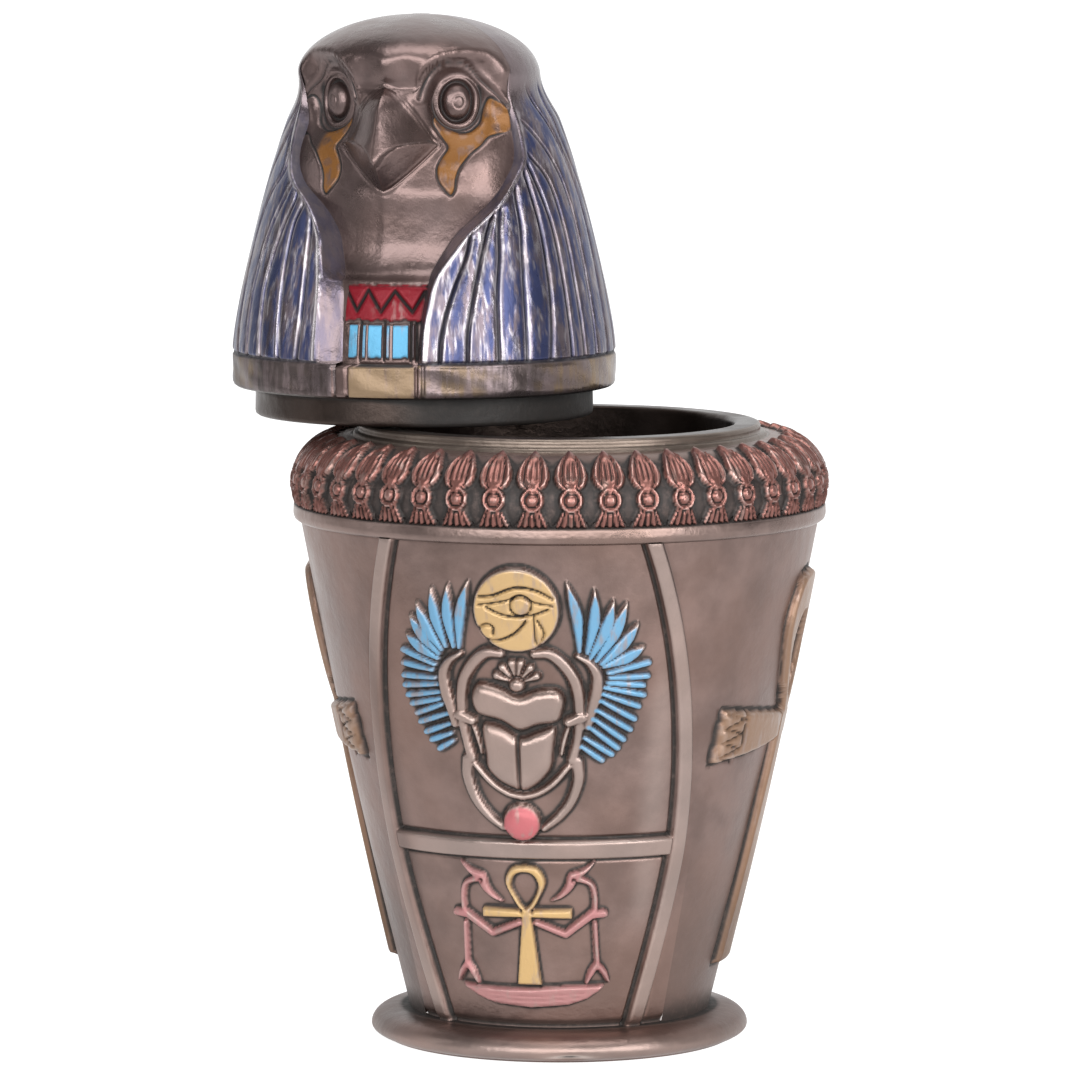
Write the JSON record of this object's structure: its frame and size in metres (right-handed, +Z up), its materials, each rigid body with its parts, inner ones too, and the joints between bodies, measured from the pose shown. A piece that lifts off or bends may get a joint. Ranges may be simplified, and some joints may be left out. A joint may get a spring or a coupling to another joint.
{
  "type": "souvenir canopic jar with falcon-headed lid",
  "caption": "Small tapered souvenir jar in bronze-filled resin with carved scarab and ankh panels; its solid falcon-headed lid rests askew on the open rim.",
  "frame": {"origin": "on the jar's axis, in the plane of the underside of its foot", "axes": "+Z up along the jar's axis, -Y out of the carved front panel, -X towards the side that the lid overhangs"},
  "size_m": [0.0866, 0.0764, 0.1459],
  "materials": {
    "jar_bronze": "cold-cast bronze resin, rubbed satin with a dark wash and hand-painted accents",
    "lid_bronze": "cold-cast bronze resin, polished satin with a dark wash and painted stripes"
  },
  "bodies": {
    "root": {"jar": "jar_bronze", "lid": "lid_bronze"}
  },
  "joints": []
}
